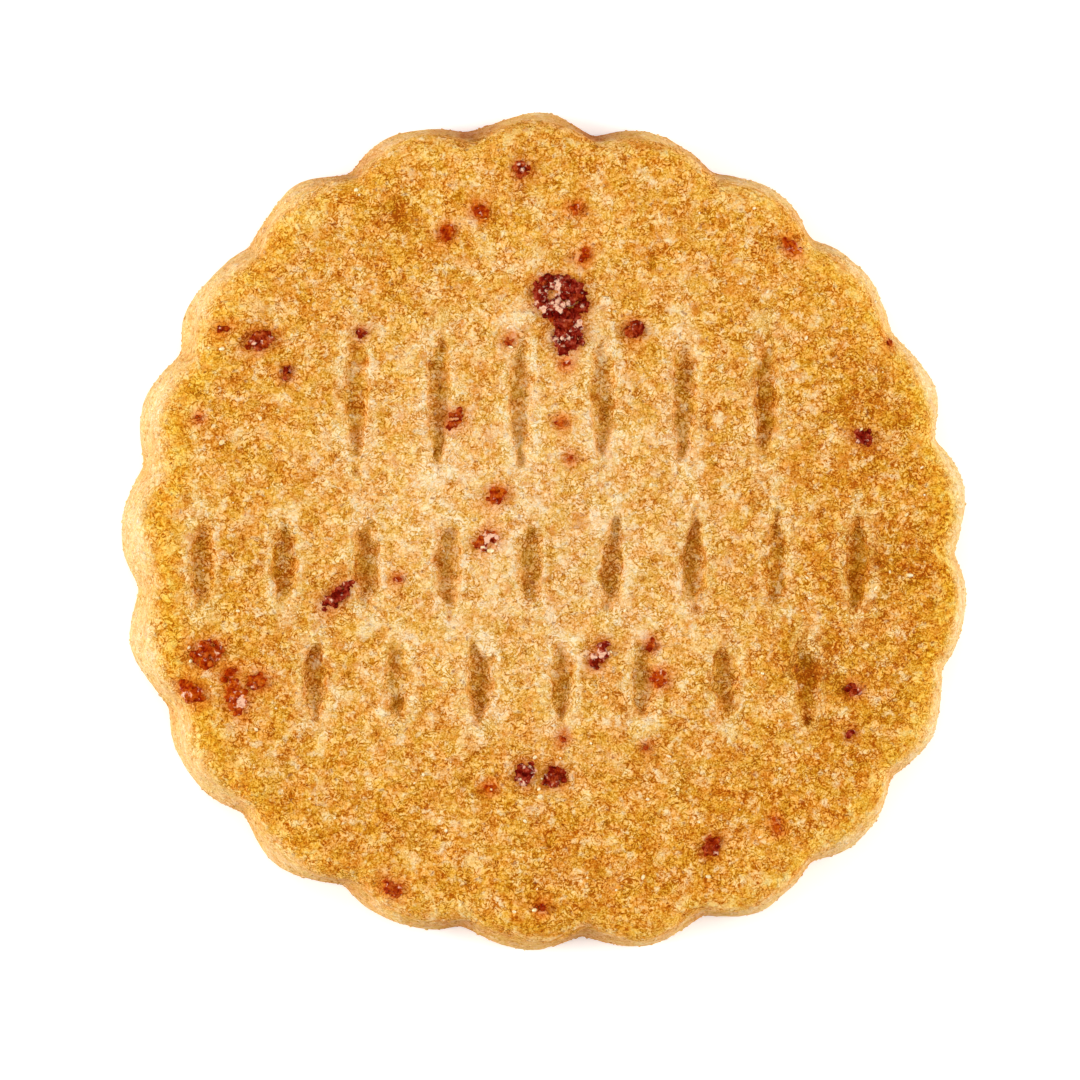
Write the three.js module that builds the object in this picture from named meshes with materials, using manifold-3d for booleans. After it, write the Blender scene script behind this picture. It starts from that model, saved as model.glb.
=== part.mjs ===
// A round shortbread biscuit with a fluted rim, a rounded top edge, rows of pressed docker marks
// and bits of red fruit baked into its top. Millimetres, +Z up, standing on its flat base at z = 0.
import * as THREE from "three";
import { mergeVertices } from "three/addons/utils/BufferGeometryUtils.js";
import Module from "manifold-3d";

// Driving sizes of the round
const MEAN_RADIUS = 25.7;
const THICKNESS = 6.6;
const FOOT_ROUND = 0.55;
const WALL_DRAFT = 0.6;
const WALL_BULGE = 1.5; // over 1, the wall stays steep low down and leans in higher up
const SHOULDER_WIDTH = 1.5;
const SHOULDER_HEIGHT = 1.9;
const TOP_LEAN = 0.3; // the top sits this far towards +X of the base
const DOME = 0.25; // how much higher the middle stands than the rim

// The fluted cutter: its flutes, and how the dough has drawn it out of round
const FLUTES = 21;
const FLUTE_DEPTH = 1.02;
const NOTCH_SOFTNESS = 0.11;
const FIRST_FLUTE = 7.2; // degrees
const FLUTE_AT_TOP = 0.55; // share of the depth that is left where the shoulder meets the top
const FLUTE_FADE = 3.5; // from there inwards the flutes fade out over this width
const FLUTE_DRIFT = [
  { turns: 1, size: 0.8, towards: 321.3 },
  { turns: 2, size: 0.34, towards: 339.2 },
];
const OUT_OF_ROUND = [
  { turns: 1, size: 0.43, towards: -87.1 },
  { turns: 2, size: 0.42, towards: -33.9 },
  { turns: 3, size: 0.33, towards: -29.5 },
  { turns: 4, size: 0.19, towards: 37.4 },
];

// Docker marks: staggered rows of long narrow dents, pressed before baking
const MARK_PITCH = 5.0;
const MARK_WIDTH = 1.5;
const MARK_DEPTH = 0.72;
const MARK_LIFT = 0.05;
const MARK_UNEVEN = 0.35; // the share by which baking has filled in some marks
const MARK_ROWS = [
  { x: 0.9, y: 8.0, count: 6, length: 7.2 },
  { x: -1.0, y: -2.0, count: 9, length: 5.0 },
  { x: 0.9, y: -9.2, count: 7, length: 4.4 },
];

// Bits of dried fruit that stand in the top: place, length, width and turn in degrees
const FRUIT_RISE = 0.28; // how far a bit stands above the dough, as a share of its width
const FRUIT_CRAG = 0.3; // how uneven a bit is, as a share of its radius
const FRUIT = [
  { at: [-0.3, 14.6], length: 1.9, width: 0.9, turn: 85 },
  { at: [1.4, 14.7], length: 1.8, width: 1.4, turn: -30 },
  { at: [0.7, 13.4], length: 2.2, width: 1.4, turn: -35 },
  { at: [1.3, 12.0], length: 2.3, width: 1.8, turn: 80 },
  { at: [5.3, 12.3], length: 1.2, width: 1.0, turn: 10 },
  { at: [-3.0, 2.2], length: 1.2, width: 0.9, turn: 25 },
  { at: [-3.7, -0.6], length: 1.5, width: 0.9, turn: 35 },
  { at: [3.3, -7.4], length: 1.5, width: 0.8, turn: 55 },
  { at: [6.9, -9.0], length: 1.0, width: 0.9, turn: 60 },
  { at: [-1.3, -14.8], length: 1.7, width: 0.9, turn: 75 },
  { at: [0.5, -15.0], length: 1.5, width: 1.0, turn: 30 },
  { at: [-20.7, -7.5], length: 1.9, width: 1.5, turn: 20 },
  { at: [-21.6, -9.8], length: 1.8, width: 1.0, turn: -40 },
  { at: [-18.9, -10.2], length: 2.1, width: 1.2, turn: 100 },
  { at: [-17.6, -9.2], length: 1.3, width: 0.8, turn: 25 },
  { at: [-12.8, -4.0], length: 2.4, width: 0.8, turn: 42 },
  { at: [-17.5, 11.6], length: 1.8, width: 1.1, turn: 12 },
  { at: [-4.0, 19.5], length: 1.0, width: 0.8, turn: -50 },
  { at: [-1.5, 22.1], length: 1.0, width: 0.9, turn: -40 },
  { at: [10.1, -19.2], length: 1.3, width: 0.9, turn: 70 },
  { at: [19.4, 5.7], length: 1.2, width: 0.8, turn: -35 },
  { at: [-9.4, -21.8], length: 1.5, width: 0.8, turn: -25 },
  { at: [-6.1, 18.2], length: 1.1, width: 0.8, turn: 65 },
  { at: [15.0, 17.4], length: 1.2, width: 0.7, turn: -35 },
  { at: [-5.6, 6.8], length: 1.3, width: 0.7, turn: 60 },
  { at: [18.7, -9.7], length: 0.8, width: 0.7, turn: 20 },
];

// Unevenness of baked dough: wave length and height of its swells and crumbs
const SWELL = { length: 14, height: 0.13, waves: 6 };
const CRUMB = { length: 3.6, height: 0.06, waves: 14 };
const WALL_UNEVEN = { length: 4.5, height: 0.07, waves: 5 };

// How finely the surface is divided
const STEPS_PER_FLUTE = 8;
const TOP_CELL = 1.2;
const BASE_CELL = 5;
const FOOT_STEPS = 2;
const WALL_STEPS = 3;
const SHOULDER_STEPS = 5;
const MARK_STEPS = [10, 8];
const MERGE_DISTANCE = 1e-5;

const wasm = await Module();
wasm.setup();

// A repeatable random draw from 0 to 1
function makeRandom(seed) {
  let state = seed;
  return () => {
    state = (state * 16807) % 2147483647;
    return state / 2147483647;
  };
}

// A smooth uneven field over the plane, made of a few waves in random directions
function makeField({ length, height, waves }, random) {
  const parts = Array.from({ length: waves }, () => {
    const angle = 2 * Math.PI * random();
    const rate = (2 * Math.PI) / (length * THREE.MathUtils.lerp(0.75, 1.25, random()));
    return { x: rate * Math.cos(angle), y: rate * Math.sin(angle), phase: 2 * Math.PI * random() };
  });
  const share = height * Math.sqrt(2 / waves);
  return (x, y) => share * parts.reduce((sum, p) => sum + Math.sin(p.x * x + p.y * y + p.phase), 0);
}

const random = makeRandom(211);
const swell = makeField(SWELL, random);
const crumb = makeField(CRUMB, random);
const wallUneven = makeField(WALL_UNEVEN, random);

const radians = THREE.MathUtils.degToRad;
const outOfRound = (angle) =>
  OUT_OF_ROUND.reduce((sum, w) => sum + w.size * Math.cos(w.turns * (angle - radians(w.towards))), 0);
const drift = (angle) =>
  FLUTE_DRIFT.reduce((sum, w) => sum + w.size * Math.sin(w.turns * (angle - radians(w.towards))), 0);

// The direction in which the cutter's phase is reached, where each flute is one turn of phase
function directionOf(phase) {
  let angle = radians(FIRST_FLUTE) + phase / FLUTES;
  for (let i = 0; i < 4; i++) angle = radians(FIRST_FLUTE) + (phase - drift(angle)) / FLUTES;
  return angle;
}

// How far a flute stands out at a phase, about zero on average: round lobes between sharp notches
function fluteAt(phase) {
  const lobe = Math.hypot(Math.cos(phase / 2), NOTCH_SOFTNESS);
  return FLUTE_DEPTH * (lobe - 2 / Math.PI);
}

// Levels from the foot to the top edge: how far in from the widest outline, and how high
function sideLevels() {
  const levels = [];
  const shoulderFoot = THICKNESS - SHOULDER_HEIGHT;
  for (let i = 0; i <= FOOT_STEPS; i++) {
    const a = (i / FOOT_STEPS) * (Math.PI / 2);
    levels.push({ inset: FOOT_ROUND * (1 - Math.sin(a)), height: FOOT_ROUND * (1 - Math.cos(a)) });
  }
  for (let i = 1; i <= WALL_STEPS; i++) {
    const t = i / WALL_STEPS;
    levels.push({
      inset: WALL_DRAFT * t ** WALL_BULGE,
      height: FOOT_ROUND + t * (shoulderFoot - FOOT_ROUND),
    });
  }
  for (let i = 1; i <= SHOULDER_STEPS; i++) {
    const a = (i / SHOULDER_STEPS) * (Math.PI / 2);
    levels.push({
      inset: WALL_DRAFT + SHOULDER_WIDTH * (1 - Math.cos(a)),
      height: shoulderFoot + SHOULDER_HEIGHT * Math.sin(a),
    });
  }
  return levels;
}

// A level ring of points. share runs from 1 at the outline to 0 in the middle.
function ring({ count, share, inset, height, flute, top, flat }) {
  return Array.from({ length: count }, (_, i) => {
    const phase = (2 * Math.PI * FLUTES * i) / count;
    const angle = directionOf(phase);
    const rise = height / THICKNESS;
    const rough = flat ? 0 : wallUneven(MEAN_RADIUS * angle, height);
    const r = share * (MEAN_RADIUS + outOfRound(angle) - inset) + flute * fluteAt(phase) + share * rough;
    const x = r * Math.cos(angle) + TOP_LEAN * rise;
    const y = r * Math.sin(angle);
    const dome = top ? DOME * (1 - share * share) : 0;
    const uneven = flat ? 0 : rise ** 3 * (swell(x, y) + crumb(x, y));
    return [x, y, height + dome + uneven];
  });
}

// Rings of even cells between the outer edge and the middle, where flutes fade out
function facingRings({ outerInset, height, cell, top, flat }) {
  const reach = MEAN_RADIUS - outerInset;
  const steps = Math.round(reach / cell);
  return Array.from({ length: steps - 1 }, (_, i) => {
    const share = 1 - (i + 1) / steps;
    const count = Math.max(6, Math.round((2 * Math.PI * reach * share) / cell));
    const flute = FLUTE_AT_TOP * Math.max(0, 1 - (reach * (1 - share)) / FLUTE_FADE);
    return ring({ count, share, inset: outerInset, height, flute, top, flat });
  });
}

// Triangles between two closed rings that may have different numbers of points
function stitch(lower, upper, startLower, startUpper, index) {
  let i = 0;
  let j = 0;
  while (i < lower || j < upper) {
    const a = startLower + (i % lower);
    const b = startUpper + (j % upper);
    if (j === upper || (i < lower && (i + 1) / lower <= (j + 1) / upper)) {
      index.push(a, startLower + ((i + 1) % lower), b);
      i++;
    } else {
      index.push(a, startUpper + ((j + 1) % upper), b);
      j++;
    }
  }
}

// One closed surface through a stack of rings, shut by a point at each end
function closedSurface(first, rings, last) {
  const position = [...first];
  const index = [];
  const starts = rings.map((points) => {
    const start = position.length / 3;
    points.forEach((p) => position.push(...p));
    return start;
  });
  position.push(...last);
  const end = position.length / 3 - 1;
  const bottom = rings[0].length;
  const top = rings.at(-1).length;
  for (let i = 0; i < bottom; i++) index.push(0, starts[0] + ((i + 1) % bottom), starts[0] + i);
  for (let k = 0; k + 1 < rings.length; k++) {
    stitch(rings[k].length, rings[k + 1].length, starts[k], starts[k + 1], index);
  }
  for (let i = 0; i < top; i++) index.push(end, starts.at(-1) + i, starts.at(-1) + ((i + 1) % top));
  const geometry = new THREE.BufferGeometry();
  geometry.setAttribute("position", new THREE.Float32BufferAttribute(position, 3));
  geometry.setIndex(index);
  return geometry;
}

// The round of dough: flat base, fluted wall, rounded shoulder and uneven top
function doughRound() {
  const levels = sideLevels();
  const base = facingRings({ outerInset: levels[0].inset, height: 0, cell: BASE_CELL, flat: true });
  const side = levels.map(({ inset, height }) => {
    const onShoulder = Math.max(0, (inset - WALL_DRAFT) / SHOULDER_WIDTH);
    const flute = 1 - (1 - FLUTE_AT_TOP) * onShoulder;
    return ring({ count: FLUTES * STEPS_PER_FLUTE, share: 1, inset, height, flute, flat: height === 0 });
  });
  const top = facingRings({
    outerInset: levels.at(-1).inset,
    height: THICKNESS,
    cell: TOP_CELL,
    top: true,
  });
  return closedSurface([0, 0, 0], [...base.reverse(), ...side, ...top], [
    TOP_LEAN,
    0,
    THICKNESS + DOME + swell(TOP_LEAN, 0) + crumb(TOP_LEAN, 0),
  ]);
}

// Height of the top at a place that is clear of the shoulder
function topHeight(x, y) {
  const share = Math.min(1, Math.hypot(x - TOP_LEAN, y) / (MEAN_RADIUS - WALL_DRAFT - SHOULDER_WIDTH));
  return THICKNESS + DOME * (1 - share * share) + swell(x, y) + crumb(x, y);
}

// A long narrow dent: the tool is an ellipsoid whose middle lies just above the top
function dockerMark(x, y, length) {
  const tool = new THREE.SphereGeometry(1, ...MARK_STEPS);
  tool.rotateX(Math.PI / 2);
  tool.scale(MARK_WIDTH / 2, length / 2, MARK_DEPTH * (1 - MARK_UNEVEN * random()));
  return tool.translate(x, y, topHeight(x, y) + MARK_LIFT);
}

// A craggy bit of dried fruit, sunk into the top over most of its height
function fruitBit({ at: [x, y], length, width, turn }) {
  const smooth = new THREE.IcosahedronGeometry(1, 1);
  const bit = mergeVertices(smooth.deleteAttribute("normal").deleteAttribute("uv"));
  const points = bit.getAttribute("position");
  const point = new THREE.Vector3();
  for (let i = 0; i < points.count; i++) {
    point.fromBufferAttribute(points, i).multiplyScalar(1 + FRUIT_CRAG * (random() - 0.5));
    points.setXYZ(i, point.x, point.y, point.z);
  }
  bit.scale(length / 2, width / 2, width / 2);
  bit.rotateZ(radians(turn));
  return bit.translate(x, y, topHeight(x, y) + (FRUIT_RISE - 0.5) * width);
}

// A closed surface as a solid that can be cut and joined
function toSolid(geometry) {
  const bare = geometry.clone();
  for (const name of Object.keys(bare.attributes)) {
    if (name !== "position") bare.deleteAttribute(name);
  }
  const merged = mergeVertices(bare, MERGE_DISTANCE);
  return new wasm.Manifold(
    new wasm.Mesh({
      numProp: 3,
      vertProperties: new Float32Array(merged.attributes.position.array),
      triVerts: new Uint32Array(merged.index.array),
    }),
  );
}

// The surface of a finished solid
function toGeometry(solid) {
  const mesh = solid.getMesh();
  const geometry = new THREE.BufferGeometry();
  geometry.setAttribute("position", new THREE.BufferAttribute(mesh.vertProperties, 3));
  geometry.setIndex(new THREE.BufferAttribute(mesh.triVerts, 1));
  return geometry;
}

// The whole biscuit: the round of dough, less its docker marks, with the fruit standing in it
function biscuitSolid() {
  let solid = toSolid(doughRound());
  for (const { x, y, count, length } of MARK_ROWS) {
    for (let i = 0; i < count; i++) {
      const along = x + (i - (count - 1) / 2) * MARK_PITCH;
      solid = solid.subtract(toSolid(dockerMark(along, y, length)));
    }
  }
  for (const bit of FRUIT) solid = solid.add(toSolid(fruitBit(bit)));
  return solid;
}

const biscuitGeometry = toGeometry(biscuitSolid());
biscuitGeometry.computeBoundingBox();
const middle = biscuitGeometry.boundingBox.getCenter(new THREE.Vector3());
biscuitGeometry.translate(-middle.x, -middle.y, 0);
biscuitGeometry.computeVertexNormals();

const bakedDough = new THREE.MeshStandardMaterial({ color: 0xdfa250, roughness: 0.85, metalness: 0 });
const biscuit = new THREE.Mesh(biscuitGeometry, bakedDough);
biscuit.name = "biscuit";

const shortbread = new THREE.Group();
shortbread.add(biscuit);

export default shortbread;
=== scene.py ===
# Looks of a round fruit shortbread biscuit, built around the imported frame. Metres, +Z up.
import math

import bpy
import numpy as np
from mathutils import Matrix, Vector


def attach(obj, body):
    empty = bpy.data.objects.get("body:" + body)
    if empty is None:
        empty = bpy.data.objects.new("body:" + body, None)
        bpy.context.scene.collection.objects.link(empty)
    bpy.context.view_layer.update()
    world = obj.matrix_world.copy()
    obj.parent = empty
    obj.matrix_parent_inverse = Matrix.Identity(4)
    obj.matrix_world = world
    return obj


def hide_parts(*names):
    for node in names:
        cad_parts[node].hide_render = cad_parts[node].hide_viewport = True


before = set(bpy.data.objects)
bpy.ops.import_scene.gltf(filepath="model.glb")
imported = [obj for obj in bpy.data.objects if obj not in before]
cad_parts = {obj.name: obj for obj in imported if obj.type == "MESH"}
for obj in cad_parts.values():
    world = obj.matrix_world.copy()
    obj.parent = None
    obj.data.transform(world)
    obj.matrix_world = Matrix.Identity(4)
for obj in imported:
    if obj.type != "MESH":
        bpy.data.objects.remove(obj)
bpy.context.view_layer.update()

MM = 0.001

# The round of dough, as in the solid, in millimetres and degrees
MEAN_RADIUS = 25.7
THICKNESS = 6.6
FOOT_ROUND = 0.55
WALL_DRAFT = 0.6
WALL_BULGE = 1.5
SHOULDER_WIDTH = 1.5
SHOULDER_HEIGHT = 1.9
TOP_LEAN = 0.3
DOME = 0.25
FLUTES = 21
FLUTE_DEPTH = 1.02
NOTCH_SOFTNESS = 0.11
FIRST_FLUTE = 7.2
FLUTE_AT_TOP = 0.55
FLUTE_FADE = 3.5
FLUTE_DRIFT = [(1, 0.8, 321.3), (2, 0.34, 339.2)]  # turns, size, towards
OUT_OF_ROUND = [(1, 0.43, -87.1), (2, 0.42, -33.9), (3, 0.33, -29.5), (4, 0.19, 37.4)]
SOLID_SEED = 211
SWELL = (14, 0.13, 6)  # length, height, number of waves
CRUMB = (3.6, 0.06, 14)
WALL_UNEVEN = (4.5, 0.07, 5)

# Docker marks, as in the solid
MARK_PITCH = 5.0
MARK_WIDTH = 1.5
MARK_DEPTH = 0.72
MARK_UNEVEN = 0.35
LIP_HEIGHT = 0.07
MARK_ROWS = [(0.9, 8.0, 6, 7.2), (-1.0, -2.0, 9, 5.0), (0.9, -9.2, 7, 4.4)]  # middle, count, length

# Docker marks, finer than in the solid
MARK_SLOPE = (0.3, 1.3)  # from its floor to its edge, as squared shares of its outline
LIP_PLACE = 1.35  # as a share of its outline
LIP_WIDTH = 0.3
MARK_RAGGED = (1.5, 0.2, 9)  # length, share of the outline, number of waves
RAGGED_SEED = 77

# Beds of the fruit, and the base, which is slightly hollow inside its edge
FRUIT_MARGIN = 0.4
FRUIT_BED = 0.12
BASE_HOLLOW = 0.1
BASE_UNEVEN = 0.5  # of the wall's unevenness

# How finely the skin is divided, in millimetres
TOP_CELL = 0.168
BASE_CELL = 0.7
RIM_STEPS = 36  # for each flute
FOOT_STEPS = 4
WALL_STEPS = 16
SHOULDER_STEPS = 12

# Dried fruit: x, y, length, width, turn in degrees, and tint from 0 for crimson to 1 for orange
FRUIT = [
    (-0.3, 14.6, 1.9, 0.9, 85, 0.1),
    (1.4, 14.7, 1.8, 1.4, -30, 0.0),
    (0.7, 13.4, 2.2, 1.4, -35, 0.0),
    (1.3, 12.0, 2.3, 1.8, 80, 0.0),
    (5.3, 12.3, 1.2, 1.0, 10, 0.3),
    (-3.0, 2.2, 1.2, 0.9, 25, 0.9),
    (-3.7, -0.6, 1.5, 0.9, 35, 0.5),
    (3.3, -7.4, 1.5, 0.8, 55, 0.2),
    (6.9, -9.0, 1.0, 0.9, 60, 0.8),
    (-1.3, -14.8, 1.7, 0.9, 75, 0.0),
    (0.5, -15.0, 1.5, 1.0, 30, 0.2),
    (-20.7, -7.5, 1.9, 1.5, 20, 0.8),
    (-21.6, -9.8, 1.8, 1.0, -40, 1.0),
    (-18.9, -10.2, 2.1, 1.2, 100, 0.9),
    (-17.6, -9.2, 1.3, 0.8, 25, 0.9),
    (-12.8, -4.0, 2.4, 0.8, 42, 0.0),
    (-17.5, 11.6, 1.8, 1.1, 12, 0.45),
    (-4.0, 19.5, 1.0, 0.8, -50, 1.0),
    (-1.5, 22.1, 1.0, 0.9, -40, 0.4),
    (10.1, -19.2, 1.3, 0.9, 70, 0.4),
    (19.4, 5.7, 1.2, 0.8, -35, 0.1),
    (-9.4, -21.8, 1.5, 0.8, -25, 0.7),
    (-6.1, 18.2, 1.1, 0.8, 65, 0.9),
    (15.0, 17.4, 1.2, 0.7, -35, 0.9),
    (-5.6, 6.8, 1.3, 0.7, 60, 0.6),
    (18.7, -9.7, 0.8, 0.7, 20, 0.2),
]
FRUIT_SPECKS = [  # too small for the solid
    (1.8, 19.7, 0.7, 0.5, 20, 0.9),
    (1.2, 10.2, 0.5, 0.4, 0, 0.9),
    (-19.7, 12.4, 0.7, 0.5, 10, 0.6),
    (-15.8, 9.7, 0.8, 0.5, 70, 0.1),
    (-11.3, 12.1, 0.6, 0.5, 0, 0.2),
    (-2.3, 11.6, 0.7, 0.5, 30, 0.6),
    (0.9, 6.7, 0.7, 0.5, 15, 0.8),
    (1.5, 4.4, 0.4, 0.3, 0, 0.7),
    (-9.1, -2.9, 0.4, 0.3, 0, 0.6),
    (6.4, -6.9, 0.9, 0.5, 80, 0.5),
    (6.1, -13.2, 0.4, 0.3, 0, 0.4),
    (-3.4, -15.7, 0.6, 0.5, 0, 1.0),
    (18.6, -12.4, 0.6, 0.4, 30, 0.0),
    (21.0, 11.4, 0.6, 0.4, 90, 0.6),
    (-0.3, -23.0, 0.6, 0.4, 10, 0.7),
    (14.1, -18.0, 0.9, 0.4, -60, 0.9),
    (2.3, 16.7, 1.2, 0.5, 75, 1.0),
    (1.0, -12.6, 0.7, 0.3, 80, 0.5),
    (2.9, -8.1, 0.8, 0.6, 60, 0.3),
    (-21.2, 6.9, 0.4, 0.3, 0, 0.8),
    (0.6, 15.2, 1.6, 0.8, -10, 0.0),
    (2.1, 13.6, 1.2, 0.8, 70, 0.0),
    (-19.3, -8.7, 1.2, 0.6, 50, 1.0),
]
FROSTED = [  # x, y and reach of sugar dust on the fruit
    (0.5, 14.6, 0.55),
    (0.9, 13.9, 0.5),
    (-0.1, 13.6, 0.4),
    (2.0, 12.6, 0.35),
    (1.0, 11.8, 0.25),
    (3.2, -7.5, 0.45),
    (-18.6, -10.4, 0.35),
    (-22.0, -10.0, 0.3),
    (-20.4, -7.8, 0.35),
    (-15.7, 9.3, 0.4),
    (-0.6, -14.7, 0.35),
    (-3.5, -0.6, 0.5),
]

# Tone of the bake, with painted light and shade on the marks and the wall, from 0.3 for the darkest brown to 0.95
# for the palest cream
PLAIN_TONE = 0.641
# Painted highlight on the lips of the docker marks, and painted shade inside them, darker the deeper they are
LIP_HIGHLIGHT_TONE = 0.08
MARK_SHADE_TONE = -0.13  # for each millimetre of depth
BASE_TONE = -0.04
RING_TONE = (0.03, 0.05)  # all round, and more at +X
# The wall is paler dough all round; painted light makes it paler still at +X, lighter on the crests and darker in
# the notches
WALL_TONE_AND_LIGHT = (0.04, 0.04)
CREST_LIGHT_AND_SHADE = (0.06, 0.6)  # from a notch to a crest, and where between them it is nothing
BAKED_PLACES = [  # x, y, reach and change of tone
    (0, 0, 15, 0.045),
    (-7, 3, 5, 0.03),
    (26, 2, 14, -0.08),
    (2, -25, 14, -0.045),
    (-17, -16, 8, -0.035),
    (17, -17, 8, -0.02),
    (-17, 17, 8, -0.015),
    (-9.1, 19.3, 0.9, -0.20),
    (16.3, -7.9, 1.8, -0.16),
    (20.5, -1.7, 2.0, -0.12),
    (-0.4, -0.4, 1.6, -0.06),
]

# The rim of the crust: a pale band at the edge, partly paler dough and partly painted light, reaching further in at
# +X and -X where the side lamps fall, and a golden ring inside it, in millimetres
PALE_AND_LIT_REACH = {"-X": 1.25, "Y": 0.4, "+X": 1.2}
PALE_BLUR = 0.4
RING_PLACE = 0.9  # inside the pale band
RING_WIDTH = 0.75
RING_NEARER = 0.35  # to the edge at +X
FLOURY_REACH = 13

# How much of each there is at most: at +Y and -Y, and more of it at +X and -X
# The pale band's extra share at +X and -X and on the crests is painted light from the side lamps
PALE_AND_LIT_SHARE = (0.28, 0.72)
LIT_BY_CREST = (0.6, 0.4)  # in a notch, and more on a crest
RING_SHARE = (0.4, 0.6)
# Painted highlight on the lips of the docker marks
LIP_HIGHLIGHT = 0.5
FLOURY_SHARE = 0.65
STAIN_SHARE = 0.8
# Painted shade low in the notches of the wall
SHADE_BY_NOTCH = 1.06
SHADE_BY_SIDE = (0.8, 0.25)  # on average, and more at +Y

# Between which heights, or distances in from the edge, a part of the crust begins or ends
TOP_BEGINS = (THICKNESS - 1.2, THICKNESS - 0.3)
BROWNED_BEGINS = (THICKNESS - 0.9, THICKNESS - 0.1)
CRUMBS_BEGIN = (0.15, 1.0)
BASE_ENDS = (0.0, 0.3)
BASE_EDGE = (FOOT_ROUND, 3)
WALL_ENDS = (4.0, 5.4)
WALL_REACH = 2
SHADE_ENDS = (3.8, 5.6)
SHADE_EDGE = (FOOT_ROUND, 1.8)


def repeatable(seed):
    """The same random draws from 0 to 1 as the solid makes."""
    state = seed
    while True:
        state = state * 16807 % 2147483647
        yield state / 2147483647


def uneven_field(settings, draws):
    """A smooth uneven field over the plane, made of a few waves in random directions."""
    length, height, waves = settings
    parts = []
    for _ in range(waves):
        angle = 2 * math.pi * next(draws)
        rate = 2 * math.pi / (length * (0.75 + 0.5 * next(draws)))
        parts.append((rate * math.cos(angle), rate * math.sin(angle), 2 * math.pi * next(draws)))
    share = height * math.sqrt(2 / waves)
    return lambda x, y: share * sum(np.sin(a * x + b * y + c) for a, b, c in parts)


draws = repeatable(SOLID_SEED)
swell = uneven_field(SWELL, draws)
crumb = uneven_field(CRUMB, draws)
wall_uneven = uneven_field(WALL_UNEVEN, draws)
mark_ragged = uneven_field(MARK_RAGGED, repeatable(RAGGED_SEED))
MARKS = [
    (x + (i - (count - 1) / 2) * MARK_PITCH, y, length, MARK_DEPTH * (1 - MARK_UNEVEN * next(draws)))
    for x, y, count, length in MARK_ROWS
    for i in range(count)
]


def out_of_round(angle):
    return sum(size * np.cos(turns * (angle - math.radians(to))) for turns, size, to in OUT_OF_ROUND)


def flute_at(angle):
    """How far a flute stands out in a direction, about zero on average."""
    drift = sum(size * np.sin(turns * (angle - math.radians(to))) for turns, size, to in FLUTE_DRIFT)
    phase = FLUTES * (angle - math.radians(FIRST_FLUTE)) + drift
    return FLUTE_DEPTH * (np.hypot(np.cos(phase / 2), NOTCH_SOFTNESS) - 2 / math.pi)


def smooth_step(low, high, value):
    t = np.clip((value - low) / (high - low), 0, 1)
    return t * t * (3 - 2 * t)


def hump(offset, width):
    """1 where the offset is zero, falling away softly to both sides."""
    return np.exp(-((offset / width) ** 2))


def top_height(x, y):
    """Height of the top, without marks and fine relief."""
    share = np.minimum(1, np.hypot(x - TOP_LEAN, y) / (MEAN_RADIUS - WALL_DRAFT - SHOULDER_WIDTH))
    return THICKNESS + DOME * (1 - share**2) + swell(x, y) + crumb(x, y)


def edge_drop(x, y):
    """How far the rounded shoulder has fallen below the top at a place near the edge."""
    angle = np.arctan2(y, x - TOP_LEAN)
    flute = flute_at(angle)
    taper = (1 - FLUTE_AT_TOP) / SHOULDER_WIDTH
    reach = MEAN_RADIUS + out_of_round(angle) + flute * (1 + taper * WALL_DRAFT)
    inset = (reach - np.hypot(x - TOP_LEAN, y)) / (1 + taper * flute)
    share = np.clip((inset - WALL_DRAFT) / SHOULDER_WIDTH, 0, 1)
    return SHOULDER_HEIGHT * (1 - np.sqrt(1 - (1 - share) ** 2))


def side_levels():
    """How far in from the widest outline, and how high, from the foot to the top edge."""
    shoulder_foot = THICKNESS - SHOULDER_HEIGHT
    levels = []
    for i in range(FOOT_STEPS + 1):
        a = i / FOOT_STEPS * math.pi / 2
        levels.append((FOOT_ROUND * (1 - math.sin(a)), FOOT_ROUND * (1 - math.cos(a))))
    for i in range(1, WALL_STEPS + 1):
        t = i / WALL_STEPS
        levels.append((WALL_DRAFT * t**WALL_BULGE, FOOT_ROUND + t * (shoulder_foot - FOOT_ROUND)))
    for i in range(1, SHOULDER_STEPS + 1):
        a = i / SHOULDER_STEPS * math.pi / 2
        inset = WALL_DRAFT + SHOULDER_WIDTH * (1 - math.cos(a))
        levels.append((inset, shoulder_foot + SHOULDER_HEIGHT * math.sin(a)))
    return levels


def ring(count, share, inset, height, flute, top=False):
    """A level ring of points; share runs from 1 at the outline to 0 in the middle."""
    angle = np.arange(count) * 2 * math.pi / count
    rise = height / THICKNESS
    rough = wall_uneven(MEAN_RADIUS * angle, height) if height > 0 else 0
    r = share * (MEAN_RADIUS + out_of_round(angle) - inset + rough) + flute * flute_at(angle)
    x = r * np.cos(angle) + TOP_LEAN * rise
    y = r * np.sin(angle)
    dome = DOME * (1 - share**2) if top else 0
    z = height + dome + rise**3 * (swell(x, y) + crumb(x, y))
    in_from_edge = inset + (1 - share) * (MEAN_RADIUS - inset)
    return np.stack([x, y, z, np.full(count, in_from_edge)], axis=1)


def facing_rings(outer_inset, height, cell, top):
    """Rings between the outer edge and the middle, where the flutes fade out."""
    reach = MEAN_RADIUS - outer_inset
    steps = round(reach / cell)
    rings = []
    for i in range(1, steps):
        share = 1 - i / steps
        count = max(6, round(2 * math.pi * reach * share / cell))
        flute = FLUTE_AT_TOP * max(0, 1 - reach * (1 - share) / FLUTE_FADE)
        rings.append(ring(count, share, outer_inset, height, flute, top))
    return rings


def stitch(lower, upper, start_lower, start_upper):
    """Triangles between two closed rings that may have different numbers of points."""
    faces = []
    i = j = 0
    while i < lower or j < upper:
        a = start_lower + i % lower
        b = start_upper + j % upper
        if j == upper or (i < lower and (i + 1) * upper <= (j + 1) * lower):
            faces.append((a, start_lower + (i + 1) % lower, b))
            i += 1
        else:
            faces.append((a, start_upper + (j + 1) % upper, b))
            j += 1
    return faces


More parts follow.
